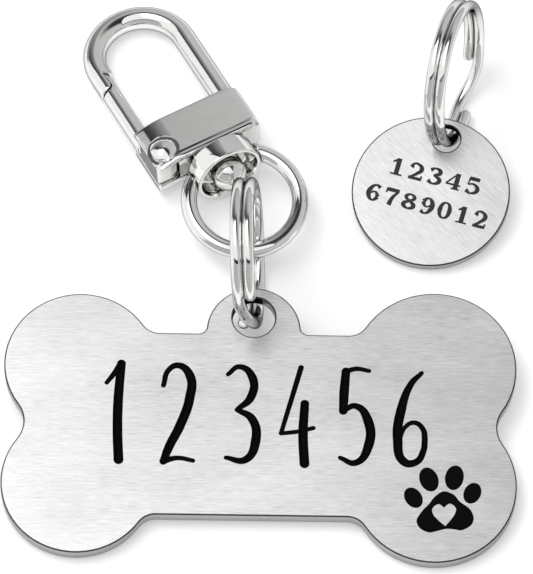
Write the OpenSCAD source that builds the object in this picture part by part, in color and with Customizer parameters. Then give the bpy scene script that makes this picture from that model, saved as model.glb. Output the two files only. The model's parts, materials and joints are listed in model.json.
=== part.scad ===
// A set of pet identification tags. A bone-shaped steel tag hangs by a split ring from the bail of
// a swivel snap hook, and a small round tag stands by itself on a split ring of its own. All of it
// lies on the plane z = 0, with +Y toward the hook and the middle of the set's outline at x = y = 0.

/* [Bone tag] */
// Length of the bone over its lobes
bone_len = 50; // [46:0.5:54]
// Thickness of the bone's sheet
bone_t = 1.5; // [1.2:0.1:1.6]
// Radius of the two left lobes
left_lobe_r = 7.4; // [7:0.1:8]
// Height over the two left lobes
left_lobe_h = 27.2; // [26:0.2:29]
// Radius of the two right lobes
right_lobe_r = 8; // [7.4:0.1:8.4]
// Height over the two right lobes
right_lobe_h = 28.3; // [27:0.1:30]
// Height of the shank between the lobes
shank_h = 19.1; // [18:0.1:20]
// Fillet radius between the shank and a lobe
shank_fillet = 2; // [1:0.1:2.4]
// Fillet radius in the waist of each end
waist_fillet = 3; // [2:0.1:4]
// Distance of the hanging tab to the left of the bone's middle
tab_off = 0.7; // [0:0.1:2]
// Radius of the hanging tab
tab_r = 4.6; // [4.2:0.1:5]
// Height of the tab's top above the bone's middle
tab_top = 14.45; // [14.1:0.05:14.8]
// Fillet radius between the tab and the shank
tab_fillet = 0.8; // [0.4:0.1:1.2]
// Radius of the hole in the tab
bone_hole_r = 2.1; // [2:0.05:2.3]
// Width of metal between the hole and the tab's top
bone_land = 1; // [0.8:0.05:1.2]
// Slope of the bone, whose tab rides up on the split ring
bone_slope = 4.2; // [3.6:0.1:4.8]

/* [Paw mark] */
// Width of the paw's pad
pad_w = 5.6; // [4.6:0.1:6]
// Height of the paw's pad
pad_h = 4.3; // [3.6:0.1:4.6]
// Place of the pad's middle to the right of the lower right lobe's middle
paw_x = 1; // [0:0.1:1.5]
// Place of the pad's middle below the lower right lobe's middle
paw_y = 2.85; // [2.4:0.05:3.1]
// Turn of the paw
paw_turn = 5; // [0:1:10]
// Length of one toe
toe_len = 2.3; // [1.9:0.1:2.5]
// Width of one toe
toe_w = 1.75; // [1.4:0.05:1.8]
// Width of the heart in the pad
heart_w = 2.3; // [1.8:0.1:2.4]
// Depth of the mark's recess
mark_depth = 0.4; // [0.3:0.05:0.6]
// Thickness of the black filling in the recess
enamel_t = 0.25; // [0.15:0.05:0.3]

/* [Split rings] */
// Outer radius of the bone tag's split ring
bone_ring_r = 7.45; // [7:0.05:8]
// Wire thickness of the bone tag's split ring
bone_ring_wire = 1.15; // [1:0.05:1.2]
// Lean of the bone tag's split ring to the left
bone_ring_lean = 4.8; // [2:0.2:6]
// Distance by which the ring's wire passes to the left of the bone's hole's middle
ring_off = 0.3; // [0:0.05:0.4]
// Outer radius of the round tag's split ring
disc_ring_r = 7.4; // [7:0.05:8]
// Wire thickness of the round tag's split ring
disc_ring_wire = 0.95; // [0.85:0.05:1]
// Lean of the round tag's split ring to the left
disc_ring_lean = 9; // [6:0.5:10]
// Gap between the two turns of a split ring
turn_gap = 0.42; // [0.42:0.02:0.6]
// Half of the stretch in which a turn crosses over to the next
cross_len = 1.8; // [1.6:0.1:2.2]

/* [Round tag] */
// Radius of the round tag
disc_r = 7.85; // [7.5:0.05:8.2]
// Thickness of the round tag
disc_t = 1.1; // [0.9:0.1:1.2]
// Radius of the hole in the round tag
disc_hole_r = 1.4; // [1.35:0.05:1.6]
// Width of metal between the hole and the round tag's edge
disc_land = 0.7; // [0.6:0.05:0.9]
// Slope of the round tag, whose hole rides up on its split ring
disc_slope = 9.5; // [8:0.5:11]
// Turn of the round tag on the table, clockwise
disc_turn = 15.5; // [10:0.5:20]
// Place of the round tag's middle to the right of the bone's middle
disc_x = 16.7; // [16:0.1:20]
// Place of the round tag's middle above the bone's middle
disc_y = 26.3; // [25.6:0.1:30]

/* [Bail and cup] */
// Radius of the bail's bend, to the middle of its wire
bail_r = 5.5; // [5.2:0.1:6]
// Wire thickness of the bail
bail_wire = 1.6; // [1.4:0.1:1.7]
// Radius of the pins at the bail's ends
pin_r = 0.6; // [0.5:0.05:0.65]
// Outer radius of the swivel cup
cup_r = 3.5; // [3.3:0.05:3.7]
// Length of the swivel cup
cup_len = 2.7; // [2.6:0.05:2.9]
// Wall of the swivel cup
cup_wall = 0.65; // [0.55:0.05:0.75]
// Thickness of the swivel cup's closed end
cup_floor = 0.6; // [0.5:0.05:0.65]
// Rounding of the swivel cup's closed end
cup_round = 0.35; // [0.2:0.05:0.45]
// Radius of the swivel post's shaft
post_r = 1; // [0.8:0.05:1.1]
// Radius of the swivel post's head
head_r = 1.75; // [1.6:0.05:1.9]
// Length by which the swivel post's head stands out of the cup
head_out = 1.45; // [1.2:0.05:1.6]

/* [Snap hook] */
// Thickness of the hook's rod
rod_d = 2.3; // [2.1:0.05:2.4]
// Outer radius of the hook's round end
arch_r = 5.9; // [5.7:0.05:6.1]
// Distance from the cup's rim to the middle of the round end
arch_len = 17.3; // [16.9:0.1:18.5]
// Distance of the round end's middle to the left of the swivel's axis
arch_off = 0.85; // [0.7:0.05:0.9]
// Thickness of the hook's base
base_t = 4.4; // [4.3:0.05:4.6]
// Length of the hook's base along the swivel's axis
base_len = 5.2; // [5.1:0.05:5.6]
// Gap between the cup and the hook's base
base_gap = 0.3; // [0.25:0.05:0.4]
// Width of the base to the left of the swivel's axis
base_left = 6.4; // [6.3:0.05:6.6]
// Thickness of the base's front and back plates
plate_t = 0.8; // [0.75:0.05:0.85]
// Thickness of the gate's rod
gate_d = 1.9; // [1.7:0.05:2]
// Length by which the fixed nose reaches past the middle of the round end
nose_len = 2.65; // [2.4:0.05:2.9]
// Length of the step between the nose and the gate's tongue
step_len = 1.95; // [1.7:0.05:2.1]
// Radius of the gate's rivet
rivet_r = 0.5; // [0.4:0.05:0.55]
// Radius of the rivet's domed head
rivet_head_r = 1.3; // [1.1:0.05:1.4]
// Wire thickness of the gate's spring
spring_wire = 0.3; // [0.25:0.05:0.3]
// Direction of the hook's swivel axis on the table, clockwise from the right
hook_turn = 61; // [58:0.5:64]

/* [Hidden] */
$fn = 64;

steel = "silver";
nickel = "gainsboro";
enamel = "black";

// Clearances and overruns
run_gap = 0.05;
seat_gap = 0.3;
fit_gap = 0.02;
side_gap = 0.1;
over = 1;

// Steps of the points along the bone's and the mark's arcs, sides of a round wire, and its rings
arc_step = 6;
mark_step = 12;
wire_sides = 12;
turn_rings = 48;
spring_sides = 6;
spring_rings = 32;

// Places on the bone, from its middle
left_lobe = [bone_len / 2 - left_lobe_r, left_lobe_h / 2 - left_lobe_r];
right_lobe = [bone_len / 2 - right_lobe_r, right_lobe_h / 2 - right_lobe_r];
tab_y = tab_top - tab_r;
bone_hole_y = tab_top - bone_land - bone_hole_r;
bone_front = max(left_lobe_h, right_lobe_h) / 2;
bone_lift = bone_front * sin(bone_slope);

// Paw mark: rounds of the pad as shares of its height, the place of its lower edge as a share of
// a lobe's radius, each toe's place as shares of the pad's size with its turn, and a toe's taper
pad_lobe_share = 0.29;
pad_top_share = 0.37;
pad_dip_share = 0.7;
toe_place_shares = [[-0.5, 0.42, 22], [-0.215, 0.76, 6], [0.215, 0.76, -6], [0.5, 0.42, -22]];
toe_tip_share = 0.84;
pad_lobe_r = pad_h * pad_lobe_share;
pad_top_r = pad_h * pad_top_share;
pad_lobe_y = pad_lobe_r - pad_h / 2;
pad_lobe_x = pad_w / 2 - pad_lobe_r;
pad_top_y = pad_h / 2 - pad_top_r;
heart_side = heart_w / (1 + 1 / sqrt(2));

// A ring stands with its middle one height above the table, and its wire passes through the
// middle of a hole at mid-thickness. What follows are the height, the angle at which the wire
// passes the hole, seen from the ring's middle, and the ring's place from the hole.
function lane(wire) = (wire + turn_gap) / 2;
function stand_z(mid_r, wire, lean) = mid_r * cos(lean) + lane(wire) * sin(lean) + wire / 2;
function pass_angle(mid_r, drop, lean) = 180 + asin(drop / (mid_r * cos(lean)));
function ring_offset(mid_r, drop, lean) =
    let (a = pass_angle(mid_r, drop, lean))
    [mid_r * sin(a) * sin(lean), -mid_r * cos(a), drop];

// Bone tag's ring
bone_hole = [-tab_off - ring_off, bone_hole_y * cos(bone_slope) - bone_t / 2 * sin(bone_slope),
    bone_lift + bone_hole_y * sin(bone_slope) + bone_t / 2 * cos(bone_slope)];
bone_ring_mid = bone_ring_r - bone_ring_wire / 2;
bone_ring_z = stand_z(bone_ring_mid, bone_ring_wire, bone_ring_lean);
bone_ring_drop = bone_ring_z - bone_hole[2];
bone_ring_c = bone_hole + ring_offset(bone_ring_mid, bone_ring_drop, bone_ring_lean);

// Round tag's ring, from the round tag's middle before it is turned on the table
disc_hole_y = disc_r - disc_land - disc_hole_r;
disc_lift = disc_r * sin(disc_slope);
disc_hole = [0, disc_hole_y * cos(disc_slope) - disc_t / 2 * sin(disc_slope),
    disc_lift + disc_hole_y * sin(disc_slope) + disc_t / 2 * cos(disc_slope)];
disc_ring_mid = disc_ring_r - disc_ring_wire / 2;
disc_ring_z = stand_z(disc_ring_mid, disc_ring_wire, disc_ring_lean);
disc_ring_c = disc_hole
    + ring_offset(disc_ring_mid, disc_ring_z - disc_hole[2], disc_ring_lean);

// Cup: the pins' place behind the rim, where the bail's wire meets the cup's side
bail_cut = cup_r + side_gap;
bail_reach = sqrt(pow(bail_r, 2) - pow(bail_cut, 2));
pin_back = (cup_len - cup_floor) / 2 + run_gap;
pin_tip = cup_r - cup_wall - 0.6 * cup_wall;
head_back = cup_len - cup_floor - run_gap;

// Hook: the round end, the legs, the base and the gate, from the cup's rim
rod_r = rod_d / 2;
arch_mid = arch_r - rod_r;
base_front = cup_len + base_gap;
base_back = base_front + base_len;
base_right = arch_mid - arch_off + rod_r;
base_round = 0.75 * base_t / 2;
core_t = base_t - 2 * plate_t;
wall_right = base_right - rod_d + side_gap;
wall_left = -base_left + 2 * (base_left - arch_mid - arch_off + gate_d);
bead_r = plate_t / 2;
bead_x = base_front - base_gap / 2 + bead_r;
roof_t = plate_t;
bridge_t = 1.5 * plate_t;
bridge_front = base_front + bridge_t;
bridge_back = bridge_front + bridge_t;
rivet_y = -(base_left - 1.2 * rivet_head_r);
rivet_x = -(base_front + 1.33 * rivet_head_r);
gate_y = -(arch_off + arch_mid + (rod_d - gate_d) / 4);
nose_end = arch_len - nose_len;
step_end = nose_end + step_len;
step_y = -(arch_off + arch_mid) + side_gap;
heel_r = 1.1 * rivet_head_r;
heel_t = core_t - 2 * side_gap;
coil_mid = rivet_r + spring_wire;
coil_pitch = spring_wire + 1.2 * turn_gap;
coil_turns = 1.25;
pocket_r = coil_mid + 1.5 * spring_wire;
pocket_t = coil_turns * coil_pitch + 2 * spring_wire;
dome_h = 0.42 * rivet_head_r;

// The hook lies on its round end and on the edge of the cup's closed end
rest_x = cup_len - cup_round;
hook_span = arch_len + arch_mid - rest_x;
hook_slope = atan(cup_r / hook_span) - asin(rod_r / norm([hook_span, cup_r]));
rim_z = rest_x * sin(hook_slope) + cup_r * cos(hook_slope);

// The bail runs through its split ring at this angle below the ring's middle, one seat gap inside
bail_pass = -59;
bail_veer = -21;
bail_seat = bone_ring_mid - (bone_ring_wire + bail_wire) / 2 - seat_gap;
bail_seat_p = bone_ring_c + bail_seat * [-sin(bail_pass) * sin(bone_ring_lean), cos(bail_pass),
    sin(bail_pass) * cos(bone_ring_lean)];
pin_z = rim_z - pin_back * sin(hook_slope);
bail_run = bail_reach + bail_r * cos(bail_veer);
bail_slope = asin((pin_z - bail_seat_p[2]) / bail_run);
axis_dir = [cos(hook_turn), -sin(hook_turn), 0];
side_dir = [sin(hook_turn), cos(hook_turn), 0];
pin_p = bail_seat_p - bail_run * (cos(bail_slope) * axis_dir - sin(bail_slope) * [0, 0, 1])
    - bail_r * sin(bail_veer) * side_dir;
rim_p = pin_p + pin_back * (cos(hook_slope) * axis_dir + sin(hook_slope) * [0, 0, 1]);

// Middle of the whole outline from front to back, which the model is moved by
set_front = bone_front * cos(bone_slope);
ring_back = disc_y + disc_ring_c[1] * cos(disc_turn) - disc_ring_c[0] * sin(disc_turn)
    + disc_ring_mid * cos(disc_turn) + lane(disc_ring_wire) * sin(disc_turn) + disc_ring_wire / 2;
hook_back = rim_p[1] + arch_len * sin(hook_turn) * cos(hook_slope) - arch_off * cos(hook_turn)
    + arch_r * cos(hook_slope);
shift_y = (set_front - max(ring_back, hook_back)) / 2;

// Sweep of a round wire: each entry of a path is a point, two directions across the wire and a
// share of the wire's radius, which is less than one at a rounded end
function wire_ring(s, r, sides) =
    [for (i = [0:sides - 1])
        s[0] + s[3] * r * (cos(360 * i / sides) * s[1] + sin(360 * i / sides) * s[2])];

module wire(path, r, sides) {
    points = [for (s = path) each wire_ring(s, r, sides)];
    last = len(path) - 1;
    walls = [for (k = [0:last - 1], i = [0:sides - 1])
        let (j = (i + 1) % sides, a = k * sides)
        each [[a + i, a + j, a + sides + i], [a + j, a + sides + j, a + sides + i]]];
    near_cap = [for (i = [1:sides - 2]) [0, i + 1, i]];
    b = last * sides;
    far_cap = [for (i = [1:sides - 2]) [b, b + i, b + i + 1]];
    polyhedron(points, concat(walls, near_cap, far_cap));
}

// Split ring: two turns about the x axis. The wire starts just past the crossing, makes a turn,
// crosses over at angle zero, makes the second turn and ends just before the crossing.
function ease(t) = t <= 0 ? 0 : t >= 1 ? 1 : t * t * (3 - 2 * t);
function ease_slope(t) = t <= 0 || t >= 1 ? 0 : 6 * t * (1 - t);

function split_path(mid_r, gauge) =
    let (half = cross_len / mid_r * 180 / PI,
        tip = gauge / 4 / mid_r * 180 / PI,
        steps = round((720 - 2 * half) / 360 * turn_rings),
        step = (720 - 2 * half) / steps,
        body = [for (i = [1:steps - 1]) [half + i * step, 1]],
        stops = concat([[half, 0.5], [half + tip, 0.88]], body,
            [[720 - half - tip, 0.88], [720 - half, 0.5]]))
    [for (q = stops)
        let (a = q[0],
            t = (a - 360 + half) / (2 * half),
            x = lane(gauge) * (2 * ease(t) - 1),
            rise = lane(gauge) * ease_slope(t) / (half * PI / 180) / mid_r,
            len_t = norm([1, rise]),
            out = [0, cos(a), sin(a)],
            along = [0, -sin(a), cos(a)])
        [[x, 0, 0] + mid_r * out, out, ([1, 0, 0] - rise * along) / len_t, q[1]]];

function least_gap(path, gauge, apart) =
    min([for (i = [0:len(path) - 1], j = [i + apart:1:len(path) - 1])
        norm(path[i][0] - path[j][0])]) - gauge;

bone_ring_path = split_path(bone_ring_mid, bone_ring_wire);
disc_ring_path = split_path(disc_ring_mid, disc_ring_wire);

// Spring: a coil about the z axis with a short straight leg at each end
coil_path = let (steps = round(coil_turns * spring_rings), rise = coil_turns * coil_pitch)
    [for (i = [-1:steps + 1])
        let (k = max(0, min(steps, i)),
            a = 360 * coil_turns * k / steps,
            leg = (i - k) * 2 * spring_wire,
            out = [cos(a), sin(a), 0],
            along = [-sin(a), cos(a), 0])
        [coil_mid * out + leg * along + [0, 0, rise * (k / steps - 0.5)], out, [0, 0, 1], 1]];

echo("least gap of the bone tag's split ring to itself",
    least_gap(bone_ring_path, bone_ring_wire, turn_rings / 4));
echo("least gap of the round tag's split ring to itself",
    least_gap(disc_ring_path, disc_ring_wire, turn_rings / 4));
echo("least gap of the spring to itself",
    least_gap(coil_path, spring_wire, spring_rings / 2));
echo("middle of the bone tag's split ring", bone_ring_c + [0, shift_y, 0]);
echo("middle of the bone tag's hole", bone_hole + [0, shift_y, 0]);
echo("middle of the round tag's hole, before it is turned", disc_hole);
echo("middle of the bail's pins", pin_p + [0, shift_y, 0]);
echo("middle of the cup's rim", rim_p + [0, shift_y, 0]);
echo("slopes of the hook and the bail", hook_slope, bail_slope);

// Placing
module on_table() translate([0, shift_y, 0]) children();
module on_bone() on_table() translate([0, 0, bone_lift]) rotate([bone_slope, 0, 0]) children();
module on_disc() on_table() translate([disc_x, disc_y, 0]) rotate([0, 0, -disc_turn]) children();
module on_hook() on_table() translate(rim_p) rotate([0, -hook_slope, -hook_turn]) children();
module on_pins() on_table() translate(pin_p) rotate([0, bail_slope, -hook_turn]) children();
module on_rivet() on_hook() translate([rivet_x, rivet_y, 0]) children();
module on_paw() on_bone()
    translate([right_lobe[0] + paw_x, -right_lobe[1] - paw_y, bone_t - mark_depth])
        rotate([0, 0, paw_turn]) children();

// Points along an arc, with its last point only if asked for, and the heading between two points
function arc(c, r, from, to, ends = false, fine = arc_step) =
    let (n = ceil(abs(to - from) / fine), step = (to - from) / n)
    [for (i = [0:ends ? n : n - 1]) c + r * [cos(from + step * i), sin(from + step * i)]];
function heading(p, q) = atan2(q[1] - p[1], q[0] - p[0]);
function mark_arc(c, r, from, to) = arc(c, r, from, to, true, mark_step);

// Where the straight side that touches two circles leaves the first one, on its left
function touch(a, ra, b, rb) = heading(a, b) + acos((ra - rb) / norm(b - a));

// Middle of a fillet between a circle and the shank's edge, and of the fillet in a waist
function edge_mid(c, r, f, side) =
    let (rise = shank_h / 2 + f - c[1])
    [c[0] + side * sqrt(pow(r + f, 2) - pow(rise, 2)), shank_h / 2 + f];
function waist_mid(c, r, side) =
    [c[0] + side * sqrt(pow(r + waist_fillet, 2) - pow(c[1], 2)), 0];

// Half of the bone from its right waist to its left one, as arcs that touch
function tab_edge(tc, rt, lt) =
    concat(arc(rt, tab_fillet, -90, heading(rt, tc)),
        arc(tc, tab_r, heading(tc, rt), heading(tc, lt)),
        arc(lt, tab_fillet, heading(lt, tc), -90, true));
function bone_half(tab) =
    let (rc = right_lobe,
        lc = [-left_lobe[0], left_lobe[1]],
        tc = [-tab_off, tab_y],
        rw = waist_mid(rc, right_lobe_r, 1),
        lw = waist_mid(lc, left_lobe_r, -1),
        rs = edge_mid(rc, right_lobe_r, shank_fillet, -1),
        ls = edge_mid(lc, left_lobe_r, shank_fillet, 1))
    concat(arc(rw, waist_fillet, 180, heading(rw, rc)),
        arc(rc, right_lobe_r, heading(rc, rw), heading(rc, rs)),
        arc(rs, shank_fillet, heading(rs, rc), -90, true),
        tab ? tab_edge(tc, edge_mid(tc, tab_r, tab_fillet, 1), edge_mid(tc, tab_r, tab_fillet, -1))
            : [],
        arc(ls, shank_fillet, -90, heading(ls, lc)),
        arc(lc, left_lobe_r, heading(lc, ls), heading(lc, lw) + 360),
        arc(lw, waist_fillet, heading(lw, lc), 0, true));

module bone_outline() {
    upper = bone_half(true);
    lower = bone_half(false);
    polygon(concat(upper, [for (i = [len(lower) - 2:-1:1]) [lower[i][0], -lower[i][1]]]));
}

module heart_outline() {
    r = heart_side / 2;
    c = r / sqrt(2);
    polygon(concat([[0, -2 * c]], arc([c, c], r, -45, 135, fine = mark_step),
        mark_arc([-c, c], r, 45, 225)));
}

module pad_outline() {
    top = [0, pad_top_y];
    right = [pad_lobe_x, pad_lobe_y];
    left = [-pad_lobe_x, pad_lobe_y];
    side = touch(top, pad_top_r, right, pad_lobe_r);
    dip = asin(pad_dip_share);
    difference() {
        polygon(concat(mark_arc(right, pad_lobe_r, 180 + dip, 360 + side),
            mark_arc(top, pad_top_r, side, 180 - side),
            mark_arc(left, pad_lobe_r, 180 - side, 360 - dip)));
        heart_outline();
    }
}

module toe_outline(i) {
    s = toe_place_shares[i];
    root_r = toe_w / 2;
    tip_r = toe_tip_share * root_r;
    reach = toe_len - root_r - tip_r;
    root = [0, -reach / 2];
    tip = [0, reach / 2];
    side = touch(root, root_r, tip, tip_r);
    translate([s[0] * (pad_w - toe_w / 3), s[1] * pad_h]) rotate(s[2])
        polygon(concat(mark_arc(root, root_r, side, 540 - side),
            mark_arc(tip, tip_r, 180 - side, side)));
}

module bone_tag() {
    color(steel) difference() {
        on_bone() linear_extrude(bone_t) bone_outline();
        on_bone() translate([-tab_off, bone_hole_y, -over])
            cylinder(h = bone_t + 2 * over, r = bone_hole_r);
        on_paw() linear_extrude(mark_depth + over) pad_outline();
        for (i = [0:3]) on_paw() linear_extrude(mark_depth + over) toe_outline(i);
    }
}

module paw_pad_enamel() {
    color(enamel) on_paw() linear_extrude(enamel_t) pad_outline();
}

module toe_enamel(i) {
    color(enamel) on_paw() linear_extrude(enamel_t) toe_outline(i);
}

module split_ring(c, mid_r, gauge, path, lean, drop) {
    turn = pass_angle(mid_r, drop, lean);
    translate(c) rotate([0, -lean, 0]) rotate([turn, 0, 0])
        wire(path, gauge / 2, wire_sides);
}

module bone_split_ring() {
    color(steel) on_table() split_ring(bone_ring_c, bone_ring_mid, bone_ring_wire,
        bone_ring_path, bone_ring_lean, bone_ring_drop);
}

module disc_split_ring() {
    color(steel) on_disc() split_ring(disc_ring_c, disc_ring_mid, disc_ring_wire,
        disc_ring_path, disc_ring_lean, disc_ring_z - disc_hole[2]);
}

module disc_tag() {
    color(steel) on_disc() translate([0, 0, disc_lift]) rotate([disc_slope, 0, 0])
        difference() {
            cylinder(h = disc_t, r = disc_r);
            translate([0, disc_hole_y, -over]) cylinder(h = disc_t + 2 * over, r = disc_hole_r);
        }
}

// Bail: a round bend, cut off flush beside the cup, with a pin at each end
module bail_ring() {
    color(nickel) on_pins() {
        difference() {
            translate([bail_reach, 0, 0]) rotate_extrude() translate([bail_r, 0])
                circle(r = bail_wire / 2);
            translate([-bail_r, -bail_cut, -bail_wire])
                cube([bail_r + bail_reach, 2 * bail_cut, 2 * bail_wire]);
        }
        for (side = [0, 1]) mirror([0, side, 0])
            translate([0, pin_tip, 0]) rotate([-90, 0, 0])
                cylinder(h = bail_cut - pin_tip + pin_r / 2, r = pin_r);
    }
}

module cup_profile() {
    difference() {
        union() {
            square([cup_r, cup_len - cup_round]);
            square([cup_r - cup_round, cup_len]);
            translate([cup_r - cup_round, cup_len - cup_round]) circle(r = cup_round);
        }
        translate([-over, -over])
            square([cup_r - cup_wall + over, cup_len - cup_floor + over]);
        translate([-over, -over]) square([post_r + run_gap + over, cup_len + 2 * over]);
    }
}

module swivel_cup() {
    color(nickel) on_hook() difference() {
        rotate([0, -90, 0]) rotate_extrude() cup_profile();
        translate([-pin_back, 0, 0]) rotate([90, 0, 0])
            cylinder(h = 2 * (cup_r + over), r = pin_r + run_gap, center = true);
    }
}

// Post, turned about the swivel's axis: head in the cup, shaft, collar and riveted end
module swivel_post() {
    head_len = head_back + head_out;
    cap_h = 0.72 * head_r;
    cap_r = (pow(head_r, 2) + pow(cap_h, 2)) / (2 * cap_h);
    color(nickel) on_hook() rotate([0, -90, 0]) {
        translate([0, 0, cap_h - head_out]) cylinder(h = head_len - cap_h, r = head_r);
        intersection() {
            translate([0, 0, cap_r - head_out]) sphere(r = cap_r);
            translate([0, 0, -head_out]) cylinder(h = cap_h, r = head_r);
        }
        cylinder(h = bridge_back + fit_gap, r = post_r);
        translate([0, 0, cup_len + run_gap])
            cylinder(h = bridge_front - cup_len - run_gap, r = 1.3 * post_r);
        translate([0, 0, bridge_back]) cylinder(h = post_r / 2, r = 1.3 * post_r);
    }
}

// Section across the base: sharp at the gate, round at the leg
module base_section() {
    small = base_round / 6;
    for (up = [0, 1]) mirror([0, up]) {
        translate([small - base_left, 0])
            square([base_left + base_right - base_round - small, base_t / 2]);
        translate([-base_left, 0]) square([base_left, base_t / 2 - small]);
        translate([small - base_left, base_t / 2 - small]) circle(r = small);
        translate([base_right - base_round, base_t / 2 - base_round]) circle(r = base_round);
        square([base_right, base_t / 2 - base_round]);
    }
}

module hook_body() {
    nose_y = -(arch_off + arch_mid);
    color(nickel) on_hook() difference() {
        union() {
            translate([-arch_len, -arch_off, 0]) rotate([0, 0, 90])
                rotate_extrude(angle = 180) translate([arch_mid, 0]) circle(r = rod_r);
            translate([-arch_len, arch_mid - arch_off, 0]) rotate([0, 90, 0])
                cylinder(h = arch_len - base_back + over, r = rod_r);
            difference() {
                translate([-arch_len, nose_y, 0]) rotate([0, 90, 0])
                    cylinder(h = nose_len, r = rod_r);
                translate([-step_end, step_y - side_gap, -rod_d])
                    cube([step_len + over, rod_d, 2 * rod_d]);
            }
            translate([-base_back, 0, 0]) rotate([90, 0, 90])
                linear_extrude(base_len) base_section();
            translate([-bead_x, -base_left + bead_r, base_t / 2 - bead_r]) rotate([-90, 0, 0])
                cylinder(h = base_left + base_right - base_round - bead_r, r = bead_r);
            for (y = [bead_r - base_left, base_right - base_round])
                translate([-bead_x, y, base_t / 2 - bead_r]) sphere(r = bead_r);
        }
        // Hollow for the gate's heel, and the chambers on both sides of the bridge
        translate([-base_back - over, -base_left - over, -core_t / 2])
            cube([base_len + 2 * over, base_left + over + wall_left, core_t]);
        translate([-bridge_front, wall_left - over, -core_t / 2])
            cube([bridge_front, wall_right - wall_left + over, core_t]);
        translate([-base_back + roof_t, wall_left - over, -core_t / 2])
            cube([base_back - roof_t - bridge_back, wall_right - wall_left + over, core_t]);
        translate([-bridge_back - over, 0, 0]) rotate([0, 90, 0])
            cylinder(h = bridge_t + 2 * over, r = post_r + fit_gap);
        translate([rivet_x, rivet_y, 0])
            cylinder(h = base_t + over, r = rivet_r + fit_gap, center = true);
    }
}

// Gate: a round rod with a tongue behind the nose, and a heel that turns on the rivet
module gate() {
    rod_end = -step_end + side_gap;
    color(nickel) on_hook() difference() {
        union() {
            translate([rod_end, gate_y, 0]) rotate([0, 90, 0])
                cylinder(h = step_end - base_back + over, r = gate_d / 2);
            translate([0, 0, -heel_t / 2]) linear_extrude(heel_t) heel_outline();
        }
        translate([rod_end - over, step_y - rod_d, -rod_d])
            cube([step_len + 2 * side_gap + over, rod_d, 2 * rod_d]);
        translate([rivet_x, rivet_y, 0])
            cylinder(h = base_t, r = rivet_r + run_gap, center = true);
        translate([rivet_x, rivet_y, 0]) cylinder(h = pocket_t, r = pocket_r, center = true);
    }
}

module heel_outline() {
    inner = gate_y + gate_d / 2;
    outer = side_gap - base_left;
    top = side_gap - base_back - over;
    translate([rivet_x, rivet_y]) circle(r = heel_r);
    polygon([[top, outer], [top, inner], [rivet_x - heel_r * sin(30), rivet_y + heel_r * cos(30)],
        [rivet_x, rivet_y], [rivet_x + heel_r, rivet_y], [rivet_x + heel_r, outer]]);
}

module rivet_dome(a, h) {
    r = (pow(a, 2) + pow(h, 2)) / (2 * h);
    intersection() {
        translate([0, 0, h - r]) sphere(r = r);
        cylinder(h = h, r = a);
    }
}

module gate_rivet() {
    color(nickel) on_rivet() {
        cylinder(h = base_t, r = rivet_r, center = true);
        translate([0, 0, base_t / 2]) rivet_dome(rivet_head_r, dome_h);
        mirror([0, 0, 1]) translate([0, 0, base_t / 2]) rivet_dome(0.8 * rivet_head_r, dome_h / 2);
    }
}

module gate_spring() {
    color(steel) on_rivet() wire(coil_path, spring_wire / 2, spring_sides);
}

bone_tag();
paw_pad_enamel();
toe_enamel(0);  // toe_enamel_1
toe_enamel(1);  // toe_enamel_2
toe_enamel(2);  // toe_enamel_3
toe_enamel(3);  // toe_enamel_4
bone_split_ring();
bail_ring();
swivel_cup();
swivel_post();
hook_body();
gate();
gate_rivet();
gate_spring();
disc_tag();
disc_split_ring();
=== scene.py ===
# %% [markdown]
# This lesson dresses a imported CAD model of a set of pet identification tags. A bone-shaped steel
# tag hangs by a split ring from the bail of a swivel snap hook, and a small round tag has a split
# ring of its own. The CAD model is the frame: it fixes every size and every joint. Here each piece
# gets the fine form and the finish that a small metal object shows up close: brushed faces,
# polished edges, engraved numerals filled with black, and bright round wire.

import json
import math

import bpy
from mathutils import Matrix, Vector


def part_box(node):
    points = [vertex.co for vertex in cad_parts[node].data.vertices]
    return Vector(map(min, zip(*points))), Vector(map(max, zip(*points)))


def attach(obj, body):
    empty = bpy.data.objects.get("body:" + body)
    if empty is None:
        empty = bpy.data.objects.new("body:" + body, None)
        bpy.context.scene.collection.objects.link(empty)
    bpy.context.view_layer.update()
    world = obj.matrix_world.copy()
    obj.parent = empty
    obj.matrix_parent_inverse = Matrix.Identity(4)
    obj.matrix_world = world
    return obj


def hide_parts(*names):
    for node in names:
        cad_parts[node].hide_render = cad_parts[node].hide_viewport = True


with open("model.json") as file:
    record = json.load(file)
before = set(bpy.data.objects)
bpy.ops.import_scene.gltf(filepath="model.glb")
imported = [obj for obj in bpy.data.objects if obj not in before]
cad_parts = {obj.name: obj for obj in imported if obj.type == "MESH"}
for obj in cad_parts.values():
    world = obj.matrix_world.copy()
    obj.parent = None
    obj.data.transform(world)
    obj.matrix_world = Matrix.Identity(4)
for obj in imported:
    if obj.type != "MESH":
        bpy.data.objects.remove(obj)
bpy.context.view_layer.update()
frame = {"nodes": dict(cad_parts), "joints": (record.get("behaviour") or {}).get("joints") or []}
MM = 0.001
print("nodes:", sorted(frame["nodes"]))

# %% [markdown]
# The camera comes first, because every piece is seen through it. The photograph was taken from
# far off with a long lens, 28 degrees from straight above and turned by less than a degree. A long
# lens at a long distance keeps parallel edges parallel, so the camera stands 0.6 m away with a
# lens of nearly 390 mm.

# %% Camera
PICTURE_H = 574
SENSOR = 36
PIXELS_PER_MM = 10.29
DISTANCE = 0.6
ELEVATION = math.radians(62)
ROLL = math.radians(0.8)
AIM = Vector((0.493, -4.91, 8.74)) * MM

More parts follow.
